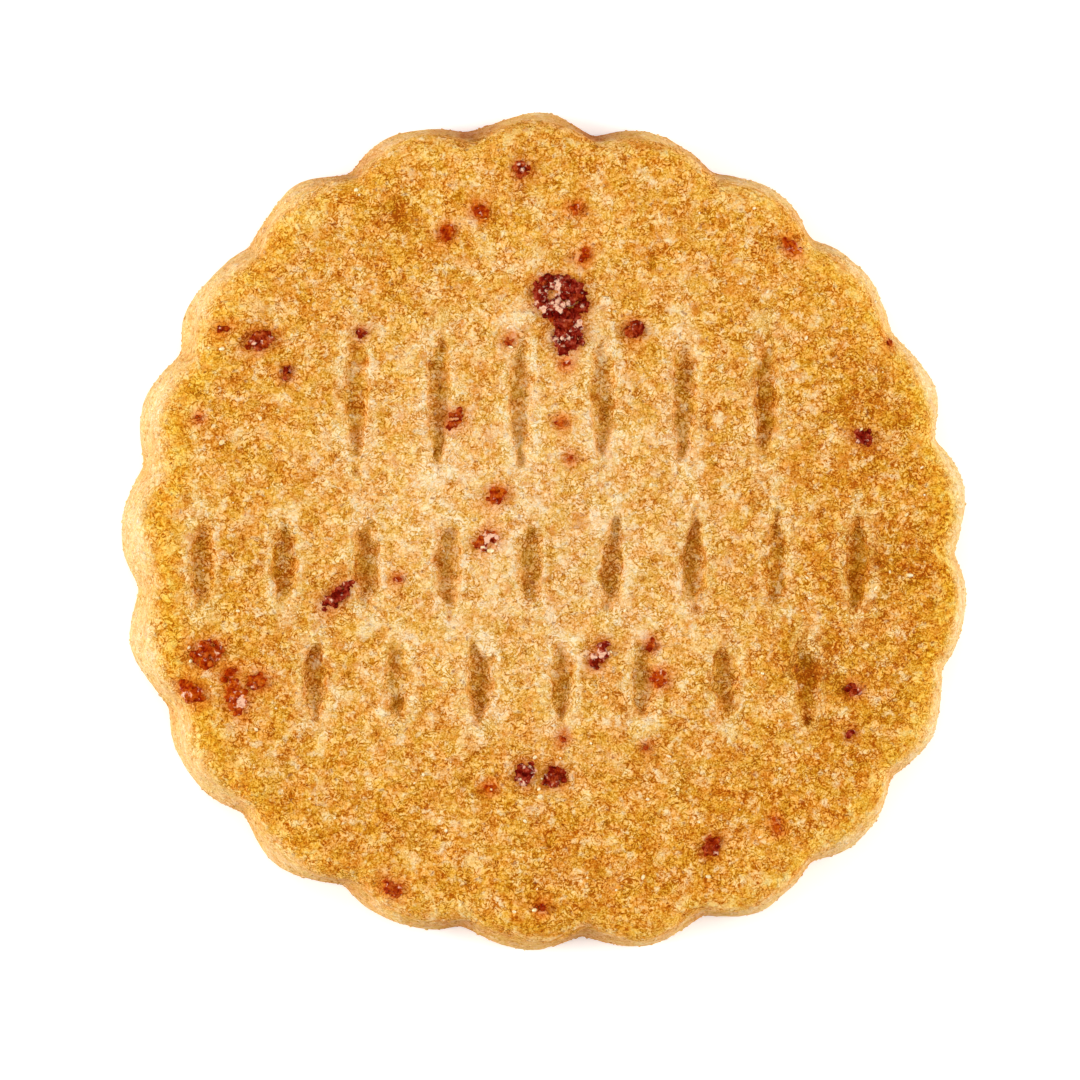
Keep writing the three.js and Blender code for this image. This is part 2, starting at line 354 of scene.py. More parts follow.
def dough_skin():
    """Points with their distance in from the edge, and triangles, of the whole closed round."""
    levels = side_levels()
    rings = facing_rings(levels[0][0], 0, BASE_CELL, top=False)[::-1]
    for inset, height in levels:
        on_shoulder = max(0, (inset - WALL_DRAFT) / SHOULDER_WIDTH)
        rings.append(ring(FLUTES * RIM_STEPS, 1, inset, height, 1 - (1 - FLUTE_AT_TOP) * on_shoulder))
    rings += facing_rings(levels[-1][0], THICKNESS, TOP_CELL, top=True)
    first = np.array([[0, 0, 0, MEAN_RADIUS]])
    last = np.array([[TOP_LEAN, 0, top_height(TOP_LEAN, 0), MEAN_RADIUS]])
    points = np.concatenate([first, *rings, last])
    starts = np.cumsum([1] + [len(r) for r in rings])
    faces = [(0, 1 + (i + 1) % len(rings[0]), 1 + i) for i in range(len(rings[0]))]
    for k in range(len(rings) - 1):
        faces += stitch(len(rings[k]), len(rings[k + 1]), int(starts[k]), int(starts[k + 1]))
    end = len(points) - 1
    count = len(rings[-1])
    faces += [(end, end - count + i, end - count + (i + 1) % count) for i in range(count)]
    return points, faces


def press_marks(x, y):
    """Depth of the docker marks in millimetres, and how near a place is to the lip of one."""
    depth = np.zeros_like(x)
    lip = np.zeros_like(x)
    for x0, y0, length, deep in MARKS:
        q = ((x - x0) / (MARK_WIDTH / 2)) ** 2 + ((y - y0) / (length / 2)) ** 2
        q = q * (1 + mark_ragged(x, y))
        depth = np.maximum(depth, deep * (1 - smooth_step(*MARK_SLOPE, q)))
        lip = np.maximum(lip, hump(np.sqrt(np.abs(q)) - LIP_PLACE, LIP_WIDTH))
    return depth, lip


def near_fruit(x, y):
    """From 0 to 1, how near a place is to a bit of fruit, and the tint of that bit."""
    near = np.zeros_like(x)
    tint = np.zeros_like(x)
    for x0, y0, length, width, turn, own_tint in FRUIT + FRUIT_SPECKS:
        a = math.radians(turn)
        along = (x - x0) * math.cos(a) + (y - y0) * math.sin(a)
        across = (y - y0) * math.cos(a) - (x - x0) * math.sin(a)
        q = (along / (length / 2 + FRUIT_MARGIN)) ** 2 + (across / (width / 2 + FRUIT_MARGIN)) ** 2
        closeness = np.exp(-(q**1.5))
        tint = np.where(closeness > near, own_tint, tint)
        near = np.maximum(near, closeness)
    return near, tint


def set_inputs(node, values):
    """Links sockets to a node's inputs, and puts plain values on its others."""
    for key, value in values.items():
        if isinstance(value, bpy.types.NodeSocket):
            node.id_data.links.new(value, node.inputs[key])
        else:
            node.inputs[key].default_value = value


def add(tree, kind, *values, out=0, at=None, **settings):
    """Adds a node with its settings and links, and gives back one of its outputs."""
    node = tree.nodes.new(kind)
    for name, value in settings.items():
        setattr(node, name, value)
    set_inputs(node, dict(enumerate(values)) | (at or {}))
    return node.outputs[out] if node.outputs else node


# Settings that many nodes share, and which of a node's outputs goes with them
SOFTLY = {"interpolation_type": "SMOOTHSTEP"}
COLOURS = {"data_type": "RGBA", "out": 2}
NUMBERS = {"data_type": "FLOAT", "out": 1}
VECTORS = {"data_type": "FLOAT_VECTOR", "out": 0}


def linear(hex_colour):
    """An sRGB hex colour as linear RGBA."""
    parts = [int(hex_colour[i : i + 2], 16) / 255 for i in (1, 3, 5)]
    return (*[c / 12.92 if c <= 0.04045 else ((c + 0.055) / 1.055) ** 2.4 for c in parts], 1.0)


def put_stops(colour, stops):
    """Puts sRGB hex stops at their places in the ramp that gives out this colour."""
    elements = colour.node.color_ramp.elements
    while len(elements) < len(stops):
        elements.new(0.5)
    for element, (place, hex_colour) in zip(elements, stops):
        element.position = place
        element.color = linear(hex_colour)
    return colour


def start_material(name):
    """An empty material: its tree, its shader node, and places on the object in millimetres."""
    material = bpy.data.materials.new(name)
    material.use_nodes = True
    tree = material.node_tree
    tree.nodes.clear()
    shader = add(tree, "ShaderNodeBsdfPrincipled").node
    add(tree, "ShaderNodeOutputMaterial", shader.outputs[0])
    place = add(tree, "ShaderNodeTexCoord", out="Object")
    mm = add(tree, "ShaderNodeVectorMath", place, operation="SCALE", at={"Scale": 1 / MM})
    return material, tree, shader, mm


def creases(tree, mm, width, spread):
    """Thin winding lines, about that many millimetres apart: 0 in a line and 1 away from it."""
    field = add(tree, "ShaderNodeTexNoise", at={"Vector": mm, "Scale": 1 / width, "Detail": 1.0, "Distortion": 1.0})
    away = add(tree, "ShaderNodeMath", field, 0.5, operation="SUBTRACT")
    away = add(tree, "ShaderNodeMath", away, operation="ABSOLUTE")
    return add(tree, "ShaderNodeMapRange", away, 0.0, spread, **SOFTLY)


# Colours of the dough by its tone, and widths of its spots in millimetres with their part in the tone
GOLDEN_CRUST = [
    (0.34, "#a45500"), (0.44, "#c27505"), (0.52, "#d78f1c"), (0.60, "#e8a638"),
    (0.68, "#f5ba54"), (0.77, "#fecd74"), (0.92, "#ffe6a8"),
]
FLOURY_CRUST = [
    (0.34, "#b06a08"), (0.46, "#d49834"), (0.56, "#e8b258"), (0.66, "#f5c882"), (0.76, "#fcdaa6"), (0.94, "#ffeed0"),
]
PALE_CRUST = [
    (0.34, "#ab6a1c"), (0.46, "#ce9540"), (0.56, "#e2b162"), (0.66, "#f0c980"), (0.76, "#f8daa0"), (0.94, "#fff0d0"),
]
CRUMB_SPOTS = [(4.5, 0.12), (1.3, 0.12), (0.45, 0.12), (0.20, 0.36), (0.10, 0.38)]


def baked_short_dough():
    """Short dough baked golden: dull, sandy and finely crinkled, paler where thick, browner in its creases, with
    painted light and shade on its relief, its marks and its rim.
    """
    material, tree, shader, mm = start_material("baked_short_dough")
    kept = {name: add(tree, "ShaderNodeAttribute", attribute_name=name, out="Fac")
            for name in ("bake", "grain", "relief", "wall", "pale_and_lit", "floury", "ring", "stain", "tint", "shade")}

    # Tone: the bake, then crumbs, sand grains and the winding creases between them, calmer on the wall, with painted
    # shade in the low places of the relief and painted light on its raised crumbs.
    # Flour and fine sugar are 0.1 to 0.2 mm, about as fine as the photograph shows.
    calm = add(tree, "ShaderNodeMath", kept["floury"], 0.1, kept["wall"], operation="MULTIPLY_ADD")
    calm = add(tree, "ShaderNodeMapRange", calm, 0.0, 1.0, 1.0, 0.6)
    flakes = add(tree, "ShaderNodeTexNoise", at={"Vector": mm, "Scale": 1 / 0.60, "Detail": 3.0, "Roughness": 0.55})
    flakes = add(tree, "ShaderNodeMapRange", flakes, 0.55, 0.70, **SOFTLY)
    clumps = add(tree, "ShaderNodeTexNoise", at={"Vector": mm, "Scale": 1 / 1.3, "Detail": 2.0, "Roughness": 0.5})
    clumps = add(tree, "ShaderNodeMapRange", clumps, 0.52, 0.68, **SOFTLY)
    fine = creases(tree, mm, 0.36, 0.12)
    sharp = add(tree, "ShaderNodeTexNoise", at={"Vector": mm, "Scale": 1 / 1.1, "Detail": 1.0})
    sharp = add(tree, "ShaderNodeMapRange", sharp, 0.35, 0.65, 0.3, 1.0, **SOFTLY)
    crinkle = add(tree, "ShaderNodeMath", fine, 0.65, operation="SUBTRACT")
    crinkle = add(tree, "ShaderNodeMath", crinkle, sharp, operation="MULTIPLY")
    tone = add(tree, "ShaderNodeMath", kept["bake"], kept["grain"], operation="ADD")
    fields = []
    for width, amount in CRUMB_SPOTS:
        spots = add(tree, "ShaderNodeTexNoise", at={"Vector": mm, "Scale": 1 / width, "Detail": 1.0})
        fields.append((spots, 0.5, amount))
    fields += [
        # painted shade in the low places of the relief, painted light on its raised crumbs
        (kept["relief"], 0.0, 0.60),
        (clumps, 0.25, 0.05),
        (creases(tree, mm, 0.80, 0.07), 0.8, 0.10),
        (crinkle, 0.0, 0.27),
        (flakes, 0.15, 0.12),
    ]
    for field, middle, amount in fields:
        offset = add(tree, "ShaderNodeMath", field, middle, operation="SUBTRACT")
        scaled = add(tree, "ShaderNodeMath", offset, calm, operation="MULTIPLY")
        tone = add(tree, "ShaderNodeMath", scaled, amount, tone, operation="MULTIPLY_ADD")

    # Three kinds of crust by their tone: golden, floury towards the middle and pale on the rim, where the pale crust
    # also stands for painted light from the side lamps and painted highlights on the lips of the marks
    golden, floury, pale_and_lit = [
        put_stops(add(tree, "ShaderNodeValToRGB", tone), stops) for stops in (GOLDEN_CRUST, FLOURY_CRUST, PALE_CRUST)
    ]
    veil = add(tree, "ShaderNodeTexNoise", at={"Vector": mm, "Scale": 1 / 2.2, "Detail": 2.0})
    veil = add(tree, "ShaderNodeMath", veil, 0.5, operation="SUBTRACT")
    veil = add(tree, "ShaderNodeMath", veil, 0.8, kept["floury"], operation="MULTIPLY_ADD")
    colour = add(tree, "ShaderNodeMix", at={0: veil, 6: golden, 7: floury}, **COLOURS)
    colour = add(tree, "ShaderNodeMix", at={0: kept["pale_and_lit"], 6: colour, 7: pale_and_lit}, **COLOURS)

    # Hue drifts between yellow and orange
    hue = add(tree, "ShaderNodeTexNoise", at={"Vector": mm, "Scale": 1 / 0.9, "Detail": 3.0})
    hue = add(tree, "ShaderNodeMapRange", hue, 0.35, 0.65, 0.488, 0.502, **SOFTLY)
    colour = add(tree, "ShaderNodeHueSaturation", at={"Hue": hue, "Color": colour})

    # Pinkish floury clumps and flakes, more of them where the crust is light, amber spots and pores
    clump_share = add(tree, "ShaderNodeMapRange", tone, 0.48, 0.66, 0.0, 0.26, **SOFTLY)
    flake_share = add(tree, "ShaderNodeMapRange", tone, 0.48, 0.66, 0.1, 0.48, **SOFTLY)
    amber = add(tree, "ShaderNodeTexNoise", at={"Vector": mm, "Scale": 1 / 0.80, "Detail": 2.0})
    pores = add(tree, "ShaderNodeTexNoise", at={"Vector": mm, "Scale": 1 / 0.30, "Detail": 1.0})
    for mask, over, kind in [
        (add(tree, "ShaderNodeMath", clumps, clump_share, operation="MULTIPLY"), "#fcdcaa", "MIX"),
        (add(tree, "ShaderNodeMath", flakes, flake_share, operation="MULTIPLY"), "#fddcac", "MIX"),
        (add(tree, "ShaderNodeMapRange", amber, 0.60, 0.72, 0.0, 0.5, **SOFTLY), "#d87c1c", "MIX"),
        (add(tree, "ShaderNodeMapRange", pores, 0.68, 0.76, 0.0, 0.7, **SOFTLY), "#a8702c", "MULTIPLY"),
    ]:
        share = add(tree, "ShaderNodeMath", mask, calm, operation="MULTIPLY")
        colour = add(tree, "ShaderNodeMix", at={0: share, 6: colour, 7: linear(over)}, blend_type=kind, **COLOURS)

    # The golden ring, juice of the fruit soaked into the dough, and painted shade low in the notches of the wall
    stain = add(tree, "ShaderNodeMix", at={0: kept["tint"], 6: linear("#dc9a7c"), 7: linear("#f0a05c")}, **COLOURS)
    for name, over in (("ring", linear("#fffab0")), ("stain", stain), ("shade", linear("#cca49c"))):
        colour = add(tree, "ShaderNodeMix", at={0: kept[name], 6: colour, 7: over}, blend_type="MULTIPLY", **COLOURS)

    # Fat and sugar have an IOR of 1.45, and a sandy crust hardly shines
    height = add(tree, "ShaderNodeMath", flakes, 1.5, fine, operation="MULTIPLY_ADD")
    bump = add(tree, "ShaderNodeBump", at={"Strength": 0.8, "Distance": 0.05 * MM, "Height": height})
    set_inputs(shader, {
        "Base Color": colour, "Roughness": 0.78, "IOR": 1.45, "Specular IOR Level": 0.06, "Normal": bump,
    })
    return material


CRIMSON_SKIN = [(0.36, "#480100"), (0.45, "#6c0802"), (0.52, "#8a1c0c"), (0.59, "#a23a24"), (0.70, "#c4644a")]
ORANGE_SKIN = [(0.36, "#8a1600"), (0.45, "#a83000"), (0.52, "#bc4a04"), (0.59, "#cc620c"), (0.70, "#e08228")]


def dried_fruit():
    """Dried red berry, chopped: dark and sticky with small painted glints, in places dusted pink with sugar."""
    material, tree, shader, mm = start_material("dried_red_fruit")
    tint = add(tree, "ShaderNodeAttribute", attribute_name="tint", out="Fac")
    frost = add(tree, "ShaderNodeAttribute", attribute_name="frost", out="Fac")
    fine = add(tree, "ShaderNodeTexNoise",
               at={"Vector": mm, "Scale": 1 / 0.42, "Detail": 4.0, "Roughness": 0.7, "Distortion": 0.4})
    crimson, orange = [
        put_stops(add(tree, "ShaderNodeValToRGB", fine), stops) for stops in (CRIMSON_SKIN, ORANGE_SKIN)
    ]
    colour = add(tree, "ShaderNodeMix", at={0: tint, 6: crimson, 7: orange}, **COLOURS)
    dust = add(tree, "ShaderNodeTexNoise", at={"Vector": mm, "Scale": 1 / 0.30, "Detail": 3.0})
    dust = add(tree, "ShaderNodeMath", dust, frost, operation="ADD")
    dust = add(tree, "ShaderNodeMapRange", dust, 0.93, 1.13, 0.0, 0.9, **SOFTLY)
    colour = add(tree, "ShaderNodeMix", at={0: dust, 6: colour, 7: linear("#ffceac")}, **COLOURS)
    # Painted highlights: small pale glints mixed into the colour
    painted_glints = add(tree, "ShaderNodeTexNoise", at={"Vector": mm, "Scale": 1 / 0.26, "Detail": 3.0, "Roughness": 0.7})
    painted_glints = add(tree, "ShaderNodeMapRange", painted_glints, 0.69, 0.73, 0.0, 0.6, **SOFTLY)
    colour = add(tree, "ShaderNodeMix", at={0: painted_glints, 6: colour, 7: linear("#ffd0a0")}, **COLOURS)

    # Syrupy pulp has an IOR of 1.48, wet to the eye where it isn't dusted
    dull = add(tree, "ShaderNodeMapRange", dust, 0.0, 0.85, 0.3, 0.7)
    bump = add(tree, "ShaderNodeBump", at={"Strength": 0.6, "Distance": 0.05 * MM, "Height": fine})
    set_inputs(shader, {
        "Base Color": colour, "Roughness": dull, "IOR": 1.48, "Specular IOR Level": 0.05,
        "Specular Tint": linear("#ffb898"), "Normal": bump,
    })
    return material


def sugar():
    """Coarse sugar crystals left whole by the oven: small, clear to cream, with glinting faces."""
    material, tree, shader, mm = start_material("sugar_crystal")
    cloud = add(tree, "ShaderNodeTexNoise", at={"Vector": mm, "Scale": 1 / 0.4, "Detail": 1.0})
    colour = put_stops(add(tree, "ShaderNodeValToRGB", cloud), [(0.3, "#f6d68c"), (0.7, "#fdeec4")])
    set_inputs(shader, {"Base Color": colour, "Roughness": 0.25, "IOR": 1.54})
    return material


def start_geometry(name, sizes):
    """An empty geometry tree: its input and output nodes, with a named input for each size."""
    tree = bpy.data.node_groups.new(name, "GeometryNodeTree")
    tree.interface.new_socket("Geometry", in_out="INPUT", socket_type="NodeSocketGeometry")
    tree.interface.new_socket("Geometry", in_out="OUTPUT", socket_type="NodeSocketGeometry")
    for label in sizes:
        tree.interface.new_socket(label, in_out="INPUT", socket_type="NodeSocketFloat")
    return tree, tree.nodes.new("NodeGroupInput"), tree.nodes.new("NodeGroupOutput")


def finish_geometry(tree, outputs, geometry, material):
    """Ends a geometry tree with plain meshes in their material."""
    real = add(tree, "GeometryNodeRealizeInstances", geometry)
    finished = add(tree, "GeometryNodeSetMaterial", real, at={"Material": material})
    tree.links.new(finished, outputs.inputs["Geometry"])
    return tree


def apply_geometry(name, mesh, tree, sizes):
    """Runs a geometry tree on a mesh and gives back its result as a plain object."""
    source = bpy.data.objects.new(name + "_source", mesh)
    bpy.context.scene.collection.objects.link(source)
    modifier = source.modifiers.new(name, "NODES")
    modifier.node_group = tree
    for item in tree.interface.items_tree:
        if item.in_out == "INPUT" and item.name in sizes:
            modifier[item.identifier] = float(sizes[item.name])
    result = bpy.data.meshes.new_from_object(source.evaluated_get(bpy.context.evaluated_depsgraph_get()))
    bpy.data.objects.remove(source)
    result.name = name
    piece = bpy.data.objects.new(name, result)
    bpy.context.scene.collection.objects.link(piece)
    return piece


def field_mesh(name, places, faces=(), **fields):
    """A mesh with a number at each point for each named field."""
    mesh = bpy.data.meshes.new(name)
    mesh.from_pydata(places, [], faces)
    for label, values in fields.items():
        values = np.broadcast_to(values, len(places)).astype("f")
        mesh.attributes.new(label, "FLOAT", "POINT").data.foreach_set("value", values)
    return mesh


CRUMB_RELIEF = {  # millimetres
    "Crag width": 2.4, "Crag height": 0.16,
    "Crumb width": 0.6, "Crumb height": 0.16,
    "Pit spacing": 1.5, "Pit depth": 0.16,
}
PIT_SLOPE = (0.05, 0.28)  # from its floor to its edge, as shares of the pit spacing


def crumb_relief(material):
    """Raises and lowers the skin into crags and crumbs and sinks small pits in it."""
    tree, inputs, outputs = start_geometry("crumb_relief", CRUMB_RELIEF)
    size = inputs.outputs
    place = add(tree, "GeometryNodeInputPosition")
    mm = add(tree, "ShaderNodeVectorMath", place, operation="SCALE", at={"Scale": 1 / MM})
    height = 0.0
    for width, rise in (("Crag width", "Crag height"), ("Crumb width", "Crumb height")):
        rate = add(tree, "ShaderNodeMath", 1.0, size[width], operation="DIVIDE")
        field = add(tree, "ShaderNodeTexNoise", at={"Vector": mm, "Scale": rate, "Detail": 2.0})
        offset = add(tree, "ShaderNodeMath", field, 0.5, operation="SUBTRACT")
        height = add(tree, "ShaderNodeMath", offset, size[rise], height, operation="MULTIPLY_ADD")
    rate = add(tree, "ShaderNodeMath", 1.0, size["Pit spacing"], operation="DIVIDE")
    spots = add(tree, "ShaderNodeTexVoronoi", at={"Vector": mm, "Scale": rate})
    pit = add(tree, "ShaderNodeMapRange", spots, *PIT_SLOPE, 1.0, 0.0, **SOFTLY)
    depth = add(tree, "ShaderNodeMath", size["Pit depth"], -1.0, operation="MULTIPLY")
    height = add(tree, "ShaderNodeMath", pit, depth, height, operation="MULTIPLY_ADD")
    exposed = add(tree, "GeometryNodeInputNamedAttribute", "exposed", data_type="FLOAT")
    height = add(tree, "ShaderNodeMath", height, exposed, operation="MULTIPLY")
    relief = add(tree, "GeometryNodeStoreNamedAttribute", size["Geometry"],
                 data_type="FLOAT", domain="POINT", at={"Name": "relief", "Value": height})
    metres = add(tree, "ShaderNodeMath", height, MM, operation="MULTIPLY")
    normal = add(tree, "GeometryNodeInputNormal")
    offset = add(tree, "ShaderNodeVectorMath", normal, operation="SCALE", at={"Scale": metres})
    moved = add(tree, "GeometryNodeSetPosition", relief, at={"Offset": offset})
    smooth = add(tree, "GeometryNodeSetShadeSmooth", moved)
    return finish_geometry(tree, outputs, smooth, material)


def baked_fields(x, y, z, inset, on_top, under, depth, lip):
    """What baking did to each place on the skin, as shares and tones for the material."""
    east = x / np.maximum(np.hypot(x, y), 1)  # from -1 at -X to 1 at +X
    far_east = np.maximum(east, 0)
    crest = flute_at(np.arctan2(y, x)) / FLUTE_DEPTH + 2 / math.pi  # 0 in a notch, 1 on a flute
    mean_reach = (PALE_AND_LIT_REACH["+X"] + PALE_AND_LIT_REACH["-X"]) / 2
    # The pale band reaches further in at +X and -X: partly paler dough, partly painted light from the side lamps
    pale_and_lit_to = PALE_AND_LIT_REACH["Y"] + (mean_reach - PALE_AND_LIT_REACH["Y"]) * east**2 + (PALE_AND_LIT_REACH["+X"] - mean_reach) * east
    low_wall = (1 - smooth_step(*WALL_ENDS, z)) * (inset < WALL_REACH)
    wall = np.maximum(1 - smooth_step(pale_and_lit_to - PALE_BLUR, pale_and_lit_to + PALE_BLUR, inset), low_wall)
    gold = hump(inset - pale_and_lit_to - RING_PLACE + RING_NEARER * far_east, RING_WIDTH) * on_top

    places = sum(change * hump(np.hypot(x - a, y - b), reach) for a, b, reach, change in BAKED_PLACES)
    browned = smooth_step(*BROWNED_BEGINS, z)
    # Painted highlight on the lips of the marks and painted shade inside them
    bake = PLAIN_TONE + browned * places + on_top * (LIP_HIGHLIGHT_TONE * lip + MARK_SHADE_TONE * depth) + BASE_TONE * under
    ring_tone = RING_TONE[0] + RING_TONE[1] * far_east
    # Painted light on the wall at +X and on the crests, and painted shade in its notches, over its paler dough
    wall_tone_and_light = WALL_TONE_AND_LIGHT[0] + WALL_TONE_AND_LIGHT[1] * far_east + CREST_LIGHT_AND_SHADE[0] * (crest - CREST_LIGHT_AND_SHADE[1])
    bake = bake + ring_tone * gold + wall_tone_and_light * wall

    # The pale share at +X and -X and on the crests is painted light
    lit_crest_share = LIT_BY_CREST[0] + LIT_BY_CREST[1] * crest
    pale_and_lit = wall * (PALE_AND_LIT_SHARE[0] + PALE_AND_LIT_SHARE[1] * east**2 * lit_crest_share) + LIP_HIGHLIGHT * lip * on_top
    # Painted shade low in the notches of the wall, strongest at +Y, weaker at -Y, none at +X and -X
    side_share = SHADE_BY_SIDE[0] + SHADE_BY_SIDE[1] * y / MEAN_RADIUS
    notch = (1 - east**2) ** 2 * (SHADE_BY_NOTCH - crest) * side_share
    return {
        "bake": bake,
        "wall": wall,
        "pale_and_lit": np.clip(pale_and_lit, 0, 1),
        "shade": notch * (1 - smooth_step(*SHADE_ENDS, z)) * (1 - smooth_step(*SHADE_EDGE, inset)),
        "floury": FLOURY_SHARE * hump(np.hypot(x, y), FLOURY_REACH) * on_top,
        "ring": gold * (RING_SHARE[0] + RING_SHARE[1] * east**2),
    }


def dough_piece(material):
    """The round of dough: fluted rim, docker marks, beds for the fruit and a crumbly skin."""
    points, faces = dough_skin()
    x, y, z, inset = points.T
    middle = (points[:, :2].min(0) + points[:, :2].max(0)) / 2
    on_top = smooth_step(*TOP_BEGINS, z)
    under = (1 - smooth_step(*BASE_ENDS, z)) * smooth_step(*BASE_EDGE, inset)
    depth, lip = press_marks(x, y)
    near, tint = near_fruit(x, y)
    z = z + on_top * (LIP_HEIGHT * lip - depth - FRUIT_BED * near)
    z = z + under * (BASE_HOLLOW + BASE_UNEVEN * np.abs(wall_uneven(x, y)))
    fields = baked_fields(x, y, z, inset, on_top, under, depth, lip)
    fields |= {"exposed": smooth_step(*CRUMBS_BEGIN, z), "stain": STAIN_SHARE * near * on_top, "tint": tint}
    places = np.stack([x - middle[0], y - middle[1], z], axis=1) * MM
    mesh = field_mesh("dough_skin", places.tolist(), faces, **fields)
    return apply_geometry("dough", mesh, crumb_relief(material), CRUMB_RELIEF), middle


GRAIN_SIZES = {"Spacing": 0.45, "Smallest": 0.06, "Largest": 0.14, "Sunk": 0.05}  # millimetres
GRAIN_SEEDS = {"place": 5, "tone": 11, "size": 3, "turn": 7, "shape": 9}
GRAIN_SHAPES = {0: (0.7, 0.7, 0.7), 1: (1.3, 1.3, 1.3)}
GRAIN_TONES = {2: -0.08, 3: 0.08}
GRAINS_AT_MOST = 2.0e7  # on a square metre
ANY_TURN = {0: (0, 0, 0), 1: (6.28, 6.28, 6.28)}


def crumb_grains(material):
    """Scatters loose-looking grains of dough over the skin, partly sunk in it."""
    tree, inputs, outputs = start_geometry("crumb_grains", GRAIN_SIZES)
    size = inputs.outputs
    exposed = add(tree, "GeometryNodeInputNamedAttribute", "exposed", data_type="FLOAT")
    spacing = add(tree, "ShaderNodeMath", size["Spacing"], MM, operation="MULTIPLY")
    spread = add(tree, "GeometryNodeDistributePointsOnFaces", size["Geometry"], distribute_method="POISSON",
                 at={"Distance Min": spacing, "Density Max": GRAINS_AT_MOST, "Density Factor": exposed,
                     "Seed": GRAIN_SEEDS["place"]})
    tone = add(tree, "FunctionNodeRandomValue", at=GRAIN_TONES | {"Seed": GRAIN_SEEDS["tone"]}, **NUMBERS)
    toned = add(tree, "GeometryNodeStoreNamedAttribute", spread, data_type="FLOAT", domain="POINT",
                at={"Name": "grain", "Value": tone})
    sunk = add(tree, "ShaderNodeMath", size["Sunk"], -MM, operation="MULTIPLY")
    inwards = add(tree, "ShaderNodeVectorMath", spread.node.outputs["Normal"], operation="SCALE", at={"Scale": sunk})
    moved = add(tree, "GeometryNodeSetPosition", toned, at={"Offset": inwards})
    grain = add(tree, "GeometryNodeSetShadeSmooth", add(tree, "GeometryNodeMeshIcoSphere", MM, 1))
    radii = {2: size["Smallest"], 3: size["Largest"], "Seed": GRAIN_SEEDS["size"]}
    radius = add(tree, "FunctionNodeRandomValue", at=radii, **NUMBERS)
    turn = add(tree, "FunctionNodeRandomValue", at=ANY_TURN | {"Seed": GRAIN_SEEDS["turn"]}, **VECTORS)
    turn = add(tree, "FunctionNodeEulerToRotation", turn)
    shape = add(tree, "FunctionNodeRandomValue", at=GRAIN_SHAPES | {"Seed": GRAIN_SEEDS["shape"]}, **VECTORS)
    scale = add(tree, "ShaderNodeVectorMath", shape, operation="SCALE", at={"Scale": radius})
    placed = add(tree, "GeometryNodeInstanceOnPoints", moved,
                 at={"Instance": grain, "Rotation": turn, "Scale": scale})
    return finish_geometry(tree, outputs, placed, material)


FRUIT_SIZES = {"Voxel": 0.045, "Wrinkle width": 0.32, "Wrinkle height": 0.34}  # millimetres
FRUIT_SEED = 17
FRUIT_LUMP = 0.34  # middling radius of the lumps that a bit is made of
LUMP_SIZES = (0.8, 1.5)  # of the middling one
LUMPS_IN_ONE = 1.3  # for each square as wide as a lump's radius
LUMPS_AT_LEAST = 5
LUMPS_REACH = 1.15  # of the bit's half length and width
LUMP_SUNK = 0.7  # of its radius
FRUIT_RISE = 0.196  # of its width
TINT_SPREAD = 0.15
FROST = (0.1, 0.45)
FROSTED_MORE = 0.4


def fruit_masses(material):
    """Melts the lumps of each bit of fruit into one wrinkled mass. It works in millimetres to its last step."""
    tree, inputs, outputs = start_geometry("fruit_masses", FRUIT_SIZES)
    size = inputs.outputs
    radius = add(tree, "GeometryNodeInputNamedAttribute", "size", data_type="FLOAT")
    lumps = add(tree, "GeometryNodeMeshToPoints", size["Geometry"], at={"Radius": radius})
    mass = add(tree, "GeometryNodePointsToVolume", lumps, resolution_mode="VOXEL_SIZE",
               at={"Voxel Size": size["Voxel"], "Radius": radius})
    skin = add(tree, "GeometryNodeVolumeToMesh", mass)
    place = add(tree, "GeometryNodeInputPosition")
    nearest = add(tree, "GeometryNodeSampleNearest", lumps, place)
    for name in ("tint", "frost"):
        own = add(tree, "GeometryNodeInputNamedAttribute", name, data_type="FLOAT")
        value = add(tree, "GeometryNodeSampleIndex", lumps, own, nearest, data_type="FLOAT", domain="POINT")
        skin = add(tree, "GeometryNodeStoreNamedAttribute", skin, data_type="FLOAT", domain="POINT",
                   at={"Name": name, "Value": value})
    rate = add(tree, "ShaderNodeMath", 1.0, size["Wrinkle width"], operation="DIVIDE")
    field = add(tree, "ShaderNodeTexNoise", at={"Vector": place, "Scale": rate, "Detail": 3.0})
    offset = add(tree, "ShaderNodeMath", field, 0.5, operation="SUBTRACT")
    height = add(tree, "ShaderNodeMath", offset, size["Wrinkle height"], operation="MULTIPLY")
    double = add(tree, "ShaderNodeMath", height, 2.0, operation="MULTIPLY")
    normal = add(tree, "GeometryNodeInputNormal")
    shift = add(tree, "ShaderNodeVectorMath", normal, operation="SCALE", at={"Scale": double})
    wrinkled = add(tree, "GeometryNodeSetPosition", skin, at={"Offset": shift})
    smooth = add(tree, "GeometryNodeSetShadeSmooth", wrinkled)
    metres = add(tree, "GeometryNodeTransform", smooth, at={"Scale": (MM, MM, MM)})
    return finish_geometry(tree, outputs, metres, material)


